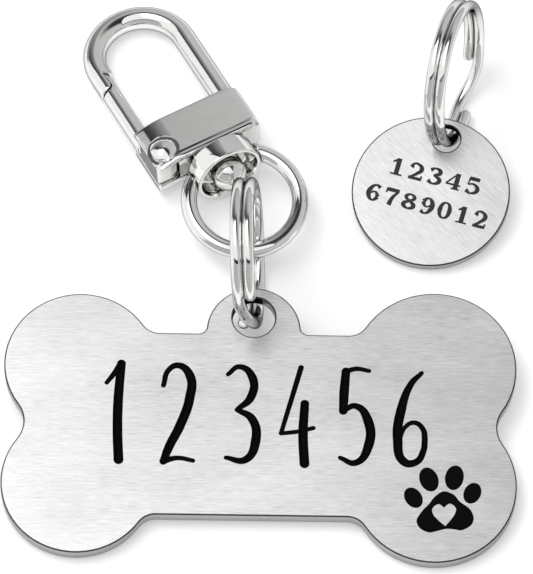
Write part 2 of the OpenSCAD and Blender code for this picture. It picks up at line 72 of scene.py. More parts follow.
camera_data = bpy.data.cameras.new("camera")
camera = bpy.data.objects.new("camera", camera_data)
bpy.context.scene.collection.objects.link(camera)
toward_camera = Vector((0, -math.cos(ELEVATION), math.sin(ELEVATION)))
camera.location = AIM + DISTANCE * toward_camera
camera.rotation_mode = "QUATERNION"
camera.rotation_quaternion = (
    Matrix.Rotation(ROLL, 4, toward_camera)
    @ (-toward_camera).to_track_quat("-Z", "Y").to_matrix().to_4x4()
).to_quaternion()
camera_data.sensor_width = SENSOR
camera_data.lens = SENSOR * PIXELS_PER_MM * DISTANCE / MM / PICTURE_H
camera_data.clip_start = 0.01
camera_data.clip_end = 10
bpy.context.scene.camera = camera
bpy.context.scene.view_settings.view_transform = "Standard"
print("lens in mm:", round(camera_data.lens, 1))

# %% [markdown]
# Each group of pieces has its own small frame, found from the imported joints, so that a piece can
# be modelled lying straight at the origin and is then seated where the CAD has it. The hook's
# frame has its x axis along the swivel toward the bail, its y axis along the bail's pins and its z
# axis up. The tags' frames have their origin in the middle of the underside.

# %% Frames of the groups
joints = {joint["name"]: joint for joint in frame["joints"]}


def point_of(joint):
    return Vector(joints[joint]["pos_m"])


def axis_of(joint):
    return Vector(joints[joint]["axis"]).normalized()


def frame_from(x, y, origin):
    x = x.normalized()
    z = x.cross(y).normalized()
    y = z.cross(x)
    made = Matrix((x, y, z)).transposed().to_4x4()
    made.translation = origin
    return made


CUP_LEN, CUP_R, CUP_WALL, CUP_FLOOR = 2.7, 3.5, 0.65, 0.6
PIN_PLAY = 0.05
PIN_BACK = (CUP_LEN - CUP_FLOOR) / 2 + PIN_PLAY
pins = point_of("bail_pivot")
swivel = axis_of("hook_swivel")
across = axis_of("bail_pivot")
hook_frame = frame_from(swivel, across, pins + PIN_BACK * MM * swivel)

BONE_T, BONE_SLOPE = 1.5, math.radians(4.2)
BONE_HOLE_X, BONE_HOLE_Y, BONE_HOLE_R = -1.0, 11.35, 2.1
bone_hole = Vector((BONE_HOLE_X, BONE_HOLE_Y, BONE_T / 2)) * MM
bone_turn = Matrix.Rotation(BONE_SLOPE, 3, "X")
bone_origin = point_of("bone_ring_swing") - bone_turn @ bone_hole
bone_frame = Matrix.Translation(bone_origin) @ bone_turn.to_4x4()

DISC_R, DISC_T, DISC_HOLE_R, DISC_HOLE_Y = 7.85, 1.1, 1.4, 5.75
DISC_HEADING, DISC_SLOPE = math.radians(-15.5), math.radians(9.5)
disc_hole = Vector((0, DISC_HOLE_Y, DISC_T / 2)) * MM
disc_turn = Matrix.Rotation(DISC_HEADING, 3, "Z") @ Matrix.Rotation(DISC_SLOPE, 3, "X")
disc_origin = point_of("round_ring_swing") - disc_turn @ disc_hole
disc_frame = Matrix.Translation(disc_origin) @ disc_turn.to_4x4()
for name, made in (("hook", hook_frame), ("bone", bone_frame), ("round tag", disc_frame)):
    print(name, "frame at", [round(v / MM, 2) for v in made.translation])


# %% [markdown]
# A few helpers do by code what a hand does with the mouse: pick objects, choose parts of a mesh by
# their place, cut one piece with another, and seat a finished piece. Operators act on whatever is
# selected, so every helper starts from a clean selection.

# %% Helpers for picking, choosing and cutting
def pick(*objs):
    bpy.ops.object.select_all(action="DESELECT")
    for obj in objs:
        obj.select_set(True)
    bpy.context.view_layer.objects.active = objs[0]


def choose(obj, kind, test):
    """Enters edit mode with the vertices, edges or faces selected that pass the test."""
    pick(obj)
    bpy.ops.object.mode_set(mode="EDIT")
    bpy.ops.mesh.select_mode(type=kind)
    bpy.ops.mesh.select_all(action="DESELECT")
    bpy.ops.object.mode_set(mode="OBJECT")
    parts = {"VERT": obj.data.vertices, "EDGE": obj.data.edges, "FACE": obj.data.polygons}[kind]
    chosen = 0
    for part in parts:
        part.select = bool(test(part))
        chosen += part.select
    bpy.ops.object.mode_set(mode="EDIT")
    return chosen


def choose_all(obj):
    pick(obj)
    bpy.ops.object.mode_set(mode="EDIT")
    bpy.ops.mesh.select_mode(type="VERT")
    bpy.ops.mesh.select_all(action="SELECT")


def done():
    bpy.ops.object.mode_set(mode="OBJECT")


def apply_place():
    bpy.ops.object.transform_apply(location=True, rotation=True, scale=True)


def new_object(name, data):
    obj = bpy.data.objects.new(name, data)
    bpy.context.scene.collection.objects.link(obj)
    pick(obj)
    return obj


def name_it(name):
    obj = bpy.context.object
    obj.name = name
    obj.data.name = name
    return obj


def modify(obj, kind, **settings):
    pick(obj)
    modifier = obj.modifiers.new(kind.lower(), kind)
    for key, value in settings.items():
        setattr(modifier, key, value)
    bpy.ops.object.modifier_apply(modifier=modifier.name)


def cut(obj, tool, operation="DIFFERENCE"):
    modify(
        obj, "BOOLEAN", object=tool, operation=operation, solver="EXACT", material_mode="TRANSFER"
    )
    bpy.data.objects.remove(tool)


def ends_of(obj, edge):
    return [obj.data.vertices[i].co / MM for i in edge.vertices]


def coat(obj, *finishes):
    obj.data.materials.clear()
    for finish in finishes:
        obj.data.materials.append(finish)


def smooth(obj, degrees):
    pick(obj)
    bpy.ops.object.shade_smooth_by_angle(angle=math.radians(degrees))


def seat(obj, place):
    """Puts a piece that was modelled at the origin in its frame, with the place in its mesh."""
    pick(obj)
    obj.matrix_world = place
    apply_place()


def cylinder(radius, start, end, axis, at, sides):
    """A cylinder along an axis from start to end, at two other coordinates, in mm."""
    middle = (start + end) / 2
    place, turn = {
        "X": ((middle, *at), (0, math.pi / 2, 0)),
        "Y": ((at[0], middle, at[1]), (math.pi / 2, 0, 0)),
        "Z": ((*at, middle), (0, 0, 0)),
    }[axis]
    bpy.ops.mesh.primitive_cylinder_add(
        vertices=sides, radius=radius * MM, depth=(end - start) * MM,
        location=Vector(place) * MM, rotation=turn,
    )
    apply_place()
    return bpy.context.object


def torus(name, middle, ring_r, wire_r, round_steps, wire_steps):
    """A level torus, in mm."""
    bpy.ops.mesh.primitive_torus_add(
        location=[v * MM for v in middle], major_segments=round_steps,
        minor_segments=wire_steps, major_radius=ring_r * MM, minor_radius=wire_r * MM,
    )
    apply_place()
    return name_it(name)


def block(low, high):
    """A box between two corners, in mm."""
    low, high = Vector(low), Vector(high)
    bpy.ops.mesh.primitive_cube_add(size=MM, location=(low + high) / 2 * MM)
    obj = bpy.context.object
    obj.scale = high - low
    apply_place()
    return obj


def prism(points, low, high):
    """A flat outline in x and y, extruded from low to high, in mm."""
    data = bpy.data.meshes.new("prism")
    data.from_pydata([(x * MM, y * MM, low * MM) for x, y in points], [], [range(len(points))])
    obj = new_object("prism", data)
    choose_all(obj)
    bpy.ops.mesh.extrude_region_move(TRANSFORM_OT_translate={"value": (0, 0, (high - low) * MM)})
    bpy.ops.mesh.select_all(action="SELECT")
    bpy.ops.mesh.normals_make_consistent(inside=False)
    done()
    return obj


def smooth_path(points, closed=True, pieces=6):
    """A smooth curve through points, as a chain of short straight pieces."""
    points = [Vector(p) for p in points]
    if closed:
        points = [points[-1]] + points + points[:2]
    else:
        points = [points[0]] + points + [points[-1]]
    made = []
    for a, b, c, d in zip(points, points[1:], points[2:], points[3:]):
        bend, twist = 2 * a - 5 * b + 4 * c - d, 3 * b - a - 3 * c + d
        for step in range(pieces):
            t = step / pieces
            made.append((2 * b + (c - a) * t + bend * t**2 + twist * t**3) / 2)
    return made


# %% [markdown]
# Brushed steel is the finish of both tags' faces: fine scratches that all run one way, some short
# and fine, some long and faint. A noise that is stretched a hundredfold along one axis gives such
# scratches. It drives colour, roughness and a very small bump together, as the real scratches do.
# The coordinates are the object's own, so the scratches stay put when the piece moves.

# %% Brushed steel
def node(tree, kind, at, **settings):
    made = tree.nodes.new("ShaderNode" + kind)
    made.location = at
    for key, value in settings.items():
        if key in made.inputs:
            made.inputs[key].default_value = value
        else:
            setattr(made, key, value)
    return made


def link(tree, source, target, into=0, out=0):
    """Joins a node's output to another node's input, each by its number or its name."""
    tree.links.new(source.outputs[out], target.inputs[into])


def empty_tree(owner):
    owner.use_nodes = True
    owner.node_tree.nodes.clear()
    return owner.node_tree


def new_material(name):
    material = bpy.data.materials.new(name)
    tree = empty_tree(material)
    output = node(tree, "OutputMaterial", (900, 0))
    surface = node(tree, "BsdfPrincipled", (600, 0))
    link(tree, surface, output)
    return material, tree, surface


def ramp(tree, at, dark, light, low, high):
    """Stretches what lies from low to high into what lies from dark to light."""
    made = node(tree, "MapRange", at)
    settings = {"From Min": low, "From Max": high, "To Min": dark, "To Max": light}
    for socket, value in settings.items():
        made.inputs[socket].default_value = value
    return made


def mixed(tree, at, share, first, second):
    made = node(tree, "Mix", at, data_type="FLOAT")
    made.inputs[0].default_value = share
    link(tree, first, made, 2)
    link(tree, second, made, 3)
    return made


def dress(tree, surface, tones, at, roughness, height, bump):
    """Colour from a tone for each channel, roughness, and a bump from a height."""
    colour = node(tree, "CombineColor", at)
    for channel, tone in enumerate(tones):
        link(tree, tone, colour, channel)
    link(tree, colour, surface, "Base Color")
    link(tree, roughness, surface, "Roughness")
    link(tree, height, bump, "Height")
    link(tree, bump, surface, "Normal")


def scratches(tree, source, at, long, wide, detail):
    """A noise stretched along x, with scratches about that long and wide, in mm."""
    scale = (1 / (long * MM), 1 / (wide * MM), 1 / (wide * MM))
    mapping = node(tree, "Mapping", at, Scale=scale)
    noise = node(tree, "TexNoise", (at[0] + 200, at[1]),
                 Scale=1.0, Detail=detail, Roughness=0.6)
    link(tree, source, mapping, "Vector")
    link(tree, mapping, noise, "Vector")
    return noise


def brushed_steel(name, place, turn, dark, light, rough):
    """Steel brushed in a direction, which is turned from the frame's x axis by an angle."""
    material, tree, surface = new_material(name)
    coordinates = node(tree, "TexCoord", (-1200, 0))
    inverse = (place @ Matrix.Rotation(turn, 4, "Z")).to_3x3().inverted().to_euler()
    lay_flat = node(tree, "Mapping", (-1000, 0), Rotation=inverse)
    link(tree, coordinates, lay_flat, "Vector", "Object")
    fine = scratches(tree, lay_flat, (-750, 250), 1.3, 0.05, 3)
    long = scratches(tree, lay_flat, (-750, -50), 5, 0.2, 2)
    cloud = scratches(tree, lay_flat, (-750, -350), 16, 7, 1)
    both = mixed(tree, (-300, 150), 0.22, fine, long)
    with_cloud = mixed(tree, (-120, 50), 0.22, both, cloud)
    tone = ramp(tree, (80, 250), dark, light, 0.34, 0.64)
    roughness = ramp(tree, (80, 0), rough - 0.05, rough + 0.07, 0.35, 0.65)
    bump = node(tree, "Bump", (280, -250), Strength=0.35, Distance=0.006 * MM)
    for driven in (tone, roughness):
        link(tree, with_cloud, driven)
    dress(tree, surface, [tone] * 3, (280, 250), roughness, both, bump)
    surface.inputs["Metallic"].default_value = 1.0
    return material


bone_steel = brushed_steel("bone_brushed_steel", bone_frame, 0.0, 0.58, 0.93, 0.32)
DISC_GRAIN = math.radians(-26)
disc_steel = brushed_steel("round_tag_brushed_steel", disc_frame, DISC_GRAIN, 0.5, 0.82, 0.33)


# %% [markdown]
# The hook, the cup, the bail and the rings are plated and polished. A mirror has hardly any look
# of its own: it shows what is round it. So its material has faint waves, a little haze and rare
# hairline scuffs, and most light and dark lines come from what stands round the object. Its
# glancing edges are tinted dark, though: a painted dark reflection that draws the dark outline.

# %% Polished metal and black paint
WARMTH = 0.985


def polished_metal(name, tone, rough, wave, scuff, edge=0.2):
    """Plated or polished metal, whose glancing edges are tinted dark by the edge tone, a painted
    dark reflection.
    """
    material, tree, surface = new_material(name)
    coordinates = node(tree, "TexCoord", (-1000, 0))
    haze = node(tree, "TexNoise", (-700, 200), Scale=900.0, Detail=3.0)
    hair = node(tree, "TexNoise", (-700, -50), Scale=2600.0, Detail=4.0, Distortion=1.5)
    wavy = node(tree, "TexNoise", (-700, -300), Scale=420.0, Detail=1.0)
    for texture in (haze, hair, wavy):
        link(tree, coordinates, texture, "Vector", "Object")
    roughness = ramp(tree, (-400, 200), rough, rough + 0.09, 0.42, 0.75)
    tint = ramp(tree, (-400, -50), tone - scuff, tone, 0.3, 0.46)
    warm = ramp(tree, (-400, -200), tone * WARMTH - scuff, tone * WARMTH, 0.3, 0.46)
    bump = node(tree, "Bump", (-150, -300), Strength=0.3, Distance=wave * MM)
    for texture, driven in ((haze, roughness), (hair, tint), (hair, warm)):
        link(tree, texture, driven)
    dress(tree, surface, [tint, tint, warm], (-150, -50), roughness, wavy, bump)
    surface.inputs["Metallic"].default_value = 1.0
    # Painted dark reflection: the Specular Tint darkens the glancing edges down to the edge tone
    surface.inputs["Specular Tint"].default_value = (edge, edge, edge, 1)
    return material


def black_paint(name, tone, rough):
    material, tree, surface = new_material(name)
    coordinates = node(tree, "TexCoord", (-800, 0))
    grain = node(tree, "TexNoise", (-550, 0), Scale=9000.0, Detail=4.0)
    link(tree, coordinates, grain, "Vector", "Object")
    shade = ramp(tree, (-300, 150), tone * 0.6, tone * 1.7, 0.3, 0.7)
    roughness = ramp(tree, (-300, -50), rough - 0.08, rough + 0.1, 0.3, 0.7)
    bump = node(tree, "Bump", (0, -250), Strength=0.4, Distance=0.01 * MM)
    for driven in (shade, roughness):
        link(tree, grain, driven)
    dress(tree, surface, [shade] * 3, (0, 150), roughness, grain, bump)
    surface.inputs["Specular IOR Level"].default_value = 0.03
    return material


nickel = polished_metal("polished_nickel", 0.86, 0.05, 0.012, 0.05)
ring_steel = polished_metal("bright_ring_steel", 0.84, 0.06, 0.01, 0.06)
wall_steel = polished_metal("cut_wall_steel", 0.5, 0.3, 0.01, 0.05, 0.7)
# Near-black steel: a painted dark reflection along the rounded borders and painted shade inside
# the holes
painted_dark_edge_steel = polished_metal("painted_dark_border_steel", 0.07, 0.3, 0.01, 0.02)
paint = black_paint("black_paint", 0.002, 0.55)
print("materials:", [m.name for m in bpy.data.materials])


# %% [markdown]
# The bone tag is cut from sheet: its faces are brushed and the cut wall is left satin. The CAD
# solid has the right outline and hole, so a merged copy of it is the start. Its plain paw recess
# is filled with a block, to be cut again in finer form. The long edges of the outline and of the
# hole get a small round, and the round is given a near-black steel: a painted dark reflection
# that draws the thin dark line along the border.

# %% Bone tag: a copy of the CAD solid with rounded edges
FLAT_ANGLE = math.radians(0.4)


def copy_of(node_name, name, place):
    """A merged copy of a CAD node, moved into its group's frame."""
    obj = new_object(name, frame["nodes"][node_name].data.copy())
    obj.data.name = name
    obj.data.transform(place.inverted())
    if obj.data.has_custom_normals:
        bpy.ops.mesh.customdata_custom_splitnormals_clear()
    choose_all(obj)
    bpy.ops.mesh.remove_doubles(threshold=0.0005 * MM)
    bpy.ops.mesh.dissolve_limited(angle_limit=FLAT_ANGLE)
    done()
    return obj


bone = copy_of("bone_tag", "bone_tag_brushed", bone_frame)
coat(bone, bone_steel, wall_steel, painted_dark_edge_steel, paint)
BORDER_ROUND = 0.13
# The field round the paw's recess, and the block that fills the recess, as two corners each
PAW_FIELD = (14.2, -12.1), (21.8, -4.6)
PAW_BLOCK = (14, -12.3, 0.7), (22, -4.4, BONE_T)


def round_border(obj, thickness, test=lambda ends: True):
    """Rounds the edges that lie in the top or bottom face and border on the wall."""
    walls, flats = set(), set()
    for face in obj.data.polygons:
        (walls if abs(face.normal.z) < 0.5 else flats).update(face.edge_keys)

    def border(edge):
        ends = ends_of(obj, edge)
        level = all(abs(p.z) < 0.01 or abs(p.z - thickness) < 0.01 for p in ends)
        return level and edge.key in walls and edge.key in flats and test(ends)

    count = choose(obj, "EDGE", border)
    bpy.ops.mesh.bevel(offset=BORDER_ROUND * MM, segments=4, profile=0.5, clamp_overlap=False)
    done()
    return count


def off_paw(ends):
    """True for the outline and the hole, and false for the edges of the paw's recess."""
    (left, low), (right, high) = PAW_FIELD
    return not all(left < p.x < right and low < p.y < high and p.z > 1 for p in ends)


print("bone's border edges:", round_border(bone, BONE_T, off_paw))
cut(bone, block(*PAW_BLOCK), "UNION")
choose(bone, "FACE", lambda f: f.normal.z > 0.9999)
bpy.ops.mesh.dissolve_limited(angle_limit=FLAT_ANGLE)
done()

# %% [markdown]
# The paw mark has four leaning oval toes and a broad pad, with a small heart left standing in the
# pad. Each is a flat outline. It is cut into the face, and the same outline, a little lower than
# the face, is the black filling, which takes the place of the CAD's.

# %% Paw mark
PAW_DEPTH, PAINT_GAP = 0.4, 0.01
# Each toe: middle x and y, long and short half, and how far it leans to the left in degrees
TOES = [(14.98, -7.45, 1.13, 0.83, 30), (16.48, -5.53, 1.28, 0.91, 18),
        (18.94, -5.31, 1.30, 0.905, -10), (20.68, -6.90, 1.12, 0.83, -22)]
PAD = [(17.89, -6.74), (17.04, -7.32), (16.49, -8.08), (15.9, -8.73), (15.29, -9.77),
       (15.61, -10.6), (16.49, -11.04), (17.38, -10.85), (18.19, -10.64), (19.0, -10.7),
       (19.67, -10.76), (20.55, -10.24), (20.81, -9.49), (20.55, -8.7), (20.11, -8.26),
       (19.45, -7.76), (18.85, -7.05)]
HEART_LEFT = [(17.93, -8.45), (17.41, -8.09), (16.8, -8.6), (17.05, -9.38), (18.06, -10.36)]
HEART_RIGHT = [(18.06, -10.36), (18.87, -9.3), (19.09, -8.5), (18.5, -8.03), (17.93, -8.45)]


def toe_outline(x, y, long, short, lean, count=40):
    turn = Matrix.Rotation(math.radians(lean), 2)
    middle = Vector((x, y))
    angles = [2 * math.pi * i / count for i in range(count)]
    return [middle + turn @ Vector((short * math.cos(a), long * math.sin(a))) for a in angles]


def paw_shapes(low, high):
    """The pad round its heart, then the toes from left to right, as blocks between two heights."""
    pad = prism(smooth_path(PAD), low, high)
    heart = smooth_path(HEART_LEFT, False) + smooth_path(HEART_RIGHT, False)
    cut(pad, prism(heart, low - 1, high + 1))
    return [pad] + [prism(toe_outline(*toe), low, high) for toe in TOES]


for shape in paw_shapes(BONE_T - PAW_DEPTH, BONE_T + 1):
    coat(shape, paint)
    cut(bone, shape)
toe_nodes = [name for name in frame["nodes"] if name.startswith("toe_")]
toe_nodes.sort(key=lambda name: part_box(name)[0].x)
marks = ["paw_pad_enamel"] + toe_nodes
fillings = paw_shapes(BONE_T - PAW_DEPTH + PAINT_GAP, BONE_T - PAINT_GAP)
for mark, filling in zip(marks, fillings):
    filling.name = filling.data.name = mark.replace("enamel", "filling")
    coat(filling, paint)
    seat(filling, bone_frame)
    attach(filling, "bone")
    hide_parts(mark)
print("fillings of the paw:", [filling.name for filling in fillings])

# %% [markdown]
# The numerals are engraved: tall, narrow and hand-drawn, with thick down strokes and thin cross
# strokes that end round. A real engraver's round cutter follows a path and goes deeper where it is
# to cut wider. The same is done here: each stroke is a smooth curve with a round section whose
# radius changes along it, laid just above the face, and it is cut out of the tag. The groove that
# is left keeps the black paint.

# %% Numerals on the bone tag
NUMERALS = {
    "1": [[(0.2, 0.8, 0.5), (0.42, 0.9, 0.6), (0.62, 1.0, 0.8)],
          [(0.62, 1.0, 0.9), (0.55, 0.62, 1.0), (0.55, 0.3, 1.0), (0.6, 0.0, 1.0)]],
    "2": [[(0.06, 0.79, 0.55), (0.2, 0.95, 0.6), (0.5, 1.0, 0.7), (0.84, 0.89, 0.95),
           (0.84, 0.66, 1.0), (0.58, 0.38, 1.0), (0.26, 0.15, 0.95), (0.1, 0.0, 0.8)],
          [(0.1, 0.0, 0.7), (0.5, 0.035, 0.55), (0.97, 0.01, 0.5)]],
    "3": [[(0.08, 0.92, 0.5), (0.42, 1.0, 0.6), (0.8, 0.89, 0.9), (0.76, 0.68, 0.9),
           (0.36, 0.55, 0.55)],
          [(0.36, 0.55, 0.55), (0.8, 0.46, 0.9), (0.92, 0.22, 1.0), (0.62, 0.03, 0.8),
           (0.06, 0.05, 0.5)]],
    "4": [[(0.6, 1.0, 0.6), (0.32, 0.66, 0.55), (0.03, 0.31, 0.5)],
          [(0.03, 0.31, 0.5), (0.5, 0.33, 0.5), (0.98, 0.37, 0.5)],
          [(0.72, 0.62, 0.9), (0.68, 0.3, 1.0), (0.73, 0.0, 1.0)]],
    "5": [[(0.88, 0.98, 0.5), (0.5, 1.0, 0.55), (0.2, 0.97, 0.6)],
          [(0.2, 0.97, 0.9), (0.15, 0.75, 1.0), (0.13, 0.56, 0.9)],
          [(0.13, 0.56, 0.55), (0.5, 0.61, 0.7), (0.86, 0.46, 1.0), (0.88, 0.2, 1.0),
           (0.5, 0.02, 0.7), (0.05, 0.07, 0.5)]],
    "6": [[(0.8, 0.97, 0.5), (0.5, 0.86, 0.7), (0.2, 0.58, 1.0), (0.1, 0.28, 1.0),
           (0.3, 0.04, 0.9), (0.64, 0.04, 0.75), (0.86, 0.16, 0.68), (0.9, 0.28, 0.65)],
          [(0.9, 0.28, 0.65), (0.85, 0.38, 0.6), (0.6, 0.45, 0.55), (0.34, 0.41, 0.5),
           (0.14, 0.26, 0.5)]],
}
NUMERAL_H, NUMERAL_W = 10.1, 3.3
STROKE_R, STROKE_LIFT = 0.5, 0.1
# Each numeral with its left side and its foot, in mm
NUMERAL_PLACES = [("1", -15.6, -3.9), ("2", -9.6, -4.0), ("3", -3.4, -4.05), ("4", 2.0, -4.05),
                  ("5", 7.7, -4.1), ("6", 13.1, -4.15)]


def wire_curve(name, radius, fineness):
    """An empty curve with a round section and closed ends, in mm."""
    data = bpy.data.curves.new(name, "CURVE")
    data.dimensions = "3D"
    data.bevel_depth = radius * MM
    data.bevel_resolution = fineness
    data.use_fill_caps = True
    return data


def mesh_from(name, data):
    new_object(name, data)
    bpy.ops.object.convert(target="MESH")
    return name_it(name)


def stroke(points, place, size, radius, lift, squash, finish, round_ends):
    """A tube along a smooth curve through (x, y, share of the radius), on a face at a place."""
    data = wire_curve("stroke", radius, 5)
    data.resolution_u = 10
    spline = data.splines.new("BEZIER")
    if points[0] == points[-1]:
        points = points[:-1]
        spline.use_cyclic_u = True
    spline.bezier_points.add(len(points) - 1)
    left, foot, top = place
    wide, high = size
    spots = [Vector((left + x * wide, foot + y * high, lift)) * MM for x, y, _ in points]
    shares = [share for _, _, share in points]
    for bend, spot, share in zip(spline.bezier_points, spots, shares):
        bend.co = spot
        bend.radius = share
        bend.handle_left_type = bend.handle_right_type = "AUTO"
    tube = mesh_from("stroke", data)
    for end in (0, -1) if round_ends else ():
        bpy.ops.mesh.primitive_uv_sphere_add(
            segments=24, ring_count=12, radius=radius * shares[end] * MM, location=spots[end]
        )
        apply_place()
        ball = bpy.context.object
        modify(tube, "BOOLEAN", object=ball, operation="UNION", solver="EXACT")
        bpy.data.objects.remove(ball)
    pick(tube)
    tube.scale = (1, 1, squash)
    tube.location = (0, 0, top * MM)
    apply_place()
    coat(tube, finish)
    return tube


size = (NUMERAL_W, NUMERAL_H)
for figure, left, foot in NUMERAL_PLACES:
    place = (left, foot, BONE_T)
    for points in NUMERALS[figure]:
        cut(bone, stroke(points, place, size, STROKE_R, STROKE_LIFT, 1, paint, True))
print("bone tag's faces after engraving:", len(bone.data.polygons))


# %% [markdown]
# The brushed faces, the rounded border and the hole in near-black steel, which is painted dark
# reflection on the border and painted shade in the hole, the satin wall and the black-filled
# grooves are four finishes on one piece. Each face gets its finish by where it lies and how it
# leans, and the grooves keep the paint that the cutter gave them.

# %% Bone tag: finishes and seat
# How level a brushed face is, how upright the wall is, the top part of a tag and the hole's rim
LEVEL, UPRIGHT, UPPER, HOLE_RIM = 0.999, 0.06, 0.5, 0.12


def finish_faces(obj, thickness, brushed, kept, hole, hole_r):
    """Brushed on the flats, painted dark reflection on the rounded borders and painted shade in
    the hole, satin on the wall.
    """
    for face in obj.data.polygons:
        if obj.data.materials[face.material_index] == kept:
            continue
        height = face.center.z / MM
        in_hole = ((face.center / MM).xy - Vector(hole)).length < hole_r + HOLE_RIM
        lean = abs(face.normal.z)
        if lean > LEVEL and (height > thickness - UPPER or height < 0.01):
            wanted = brushed
        elif in_hole or lean > UPRIGHT:
            # Painted dark reflection on the rounded borders and painted shade inside the hole
            wanted = painted_dark_edge_steel
        else:
            wanted = wall_steel
        face.material_index = obj.data.materials.find(wanted.name)


def flat_tops(obj):
    """Keeps the level faces free of the shading that the rounded borders would lend them."""
    for face in obj.data.polygons:
        if abs(face.normal.z) > 0.9995:
            face.use_smooth = False


finish_faces(bone, BONE_T, bone_steel, paint, (BONE_HOLE_X, BONE_HOLE_Y), BONE_HOLE_R)
smooth(bone, 40)
flat_tops(bone)
seat(bone, bone_frame)
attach(bone, "bone")
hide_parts("bone_tag")
print("bone tag's faces:", len(bone.data.polygons))

# %% [markdown]
# The round tag is a disc with a hole near its border. A cylinder is the start, the hole is cut,
# and the edges are rounded as on the bone.

# %% Round tag
bpy.ops.mesh.primitive_cylinder_add(
    vertices=192, radius=DISC_R * MM, depth=DISC_T * MM, location=(0, 0, DISC_T / 2 * MM)
)
apply_place()
disc = name_it("round_tag_brushed")
laser = black_paint("laser_grey", 0.035, 0.6)
coat(disc, disc_steel, wall_steel, painted_dark_edge_steel, laser)
hole = cylinder(DISC_HOLE_R, -1, DISC_T + 1, "Z", (0, DISC_HOLE_Y), 96)
# The hole's wall takes the near-black steel: painted shade inside the hole
coat(hole, painted_dark_edge_steel)
cut(disc, hole)
print("round tag's border edges:", round_border(disc, DISC_T))

# %% [markdown]
# The round tag's two rows of bold figures are drawn with the same stroke as the bone's numerals,
# but square at the ends, with thick and thin strokes and small feet, and pressed flat, so that
# they are shallow and dark grey, as a laser leaves them.

# %% Figures on the round tag
FIGURES = {
    "1": [[(0.16, 0.74, 0.4), (0.5, 0.92, 0.7)], [(0.53, 1.0, 1), (0.53, 0.0, 1)],
          [(0.16, 0.05, 0.4), (0.9, 0.05, 0.4)]],
    "2": [[(0.16, 0.68, 1), (0.28, 0.92, 0.5), (0.56, 0.93, 0.6), (0.8, 0.7, 1),
           (0.56, 0.37, 0.7), (0.14, 0.08, 0.45)],
          [(0.1, 0.09, 0.7), (0.88, 0.09, 0.7)], [(0.88, 0.02, 0.4), (0.9, 0.3, 0.4)]],
    "3": [[(0.15, 0.8, 0.9), (0.42, 0.95, 0.45), (0.76, 0.77, 1), (0.4, 0.54, 0.4)],
          [(0.4, 0.54, 0.4), (0.82, 0.29, 1), (0.45, 0.05, 0.45), (0.12, 0.19, 0.9)]],
    "4": [[(0.64, 0.96, 0.4), (0.06, 0.3, 0.4)], [(0.03, 0.29, 0.45), (0.96, 0.29, 0.45)],
          [(0.68, 0.98, 1), (0.68, 0.0, 1)], [(0.42, 0.05, 0.4), (0.94, 0.05, 0.4)]],
    "5": [[(0.2, 0.9, 0.85), (0.84, 0.9, 0.85)], [(0.23, 0.94, 0.4), (0.19, 0.52, 0.4)],
          [(0.19, 0.53, 0.4), (0.52, 0.6, 0.5), (0.82, 0.32, 1), (0.46, 0.05, 0.45),
           (0.12, 0.18, 0.9)]],
    "6": [[(0.84, 0.84, 0.9), (0.56, 0.95, 0.45), (0.2, 0.64, 1), (0.19, 0.3, 1),
           (0.5, 0.05, 0.45), (0.82, 0.29, 1)],
          [(0.82, 0.29, 1), (0.56, 0.55, 0.45), (0.26, 0.42, 0.4)]],
    "7": [[(0.08, 0.9, 0.85), (0.92, 0.9, 0.85)], [(0.1, 0.97, 0.4), (0.08, 0.68, 0.4)],
          [(0.88, 0.88, 0.5), (0.56, 0.46, 0.8), (0.44, 0.0, 1)]],
    "8": [[(0.5, 0.95, 0.45), (0.78, 0.75, 0.85), (0.5, 0.53, 0.5)],
          [(0.5, 0.95, 0.45), (0.22, 0.75, 0.85), (0.5, 0.53, 0.5)],
          [(0.5, 0.53, 0.5), (0.84, 0.28, 1), (0.5, 0.05, 0.45)],
          [(0.5, 0.53, 0.5), (0.16, 0.28, 1), (0.5, 0.05, 0.45)]],
    "0": [[(0.5, 0.95, 0.45), (0.82, 0.5, 1), (0.5, 0.05, 0.45), (0.18, 0.5, 1),
           (0.5, 0.95, 0.45)]],
}
FIGURES["9"] = [[(1 - x, 1 - y, share) for x, y, share in points] for points in FIGURES["6"]]
FIGURE_H = 1.8
LASER_R, LASER_LIFT, LASER_SQUASH = 0.25, 0.04, 0.35


def laser_row(figures, first, last, foot, wide):
    """Cuts a row of figures that reach from the first x to the last, on a foot line, in mm."""
    pitch = (last - first - wide) / (len(figures) - 1)
    size = (wide, FIGURE_H)
    for i, figure in enumerate(figures):
        place = (first + i * pitch, foot, DISC_T)
        for points in FIGURES[figure]:
            line = stroke(points, place, size, LASER_R, LASER_LIFT, LASER_SQUASH, laser, False)
            cut(disc, line)


laser_row("12345", -4.7, 4.7, 0.72, 1.62)
laser_row("6789012", -6.15, 6.25, -2.5, 1.5)
# The rounded border and the hole get the near-black steel: painted dark reflection and painted
# shade
finish_faces(disc, DISC_T, disc_steel, laser, (0, DISC_HOLE_Y), DISC_HOLE_R)
smooth(disc, 40)
flat_tops(disc)
seat(disc, disc_frame)
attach(disc, "round_tag")
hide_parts("disc_tag")
print("round tag's faces:", len(disc.data.polygons))


# %% [markdown]
# A split ring is one round wire that goes round twice. Its two turns lie tight against each other,
# and where the wire changes over from one turn to the other the two free ends stand off on either
# side. The CAD keeps a gap between the turns, and here the real, tight form is laid inside it: a
# path of points by formula, given a round section, with the ends rounded by a shrinking radius.

# %% Split rings
BONE_RING_R, BONE_RING_WIRE = 7.45, 1.165
DISC_RING_R, DISC_RING_WIRE, DISC_RING_LEAN = 7.4, 1.04, math.radians(9)
# Each turn lies this share of the wire off the ring's middle, a hair more than half
LANE_SHARE = 0.502
RING_STEPS = 110


def ease(t):
    t = min(1, max(0, t))
    return t * t * (3 - 2 * t)


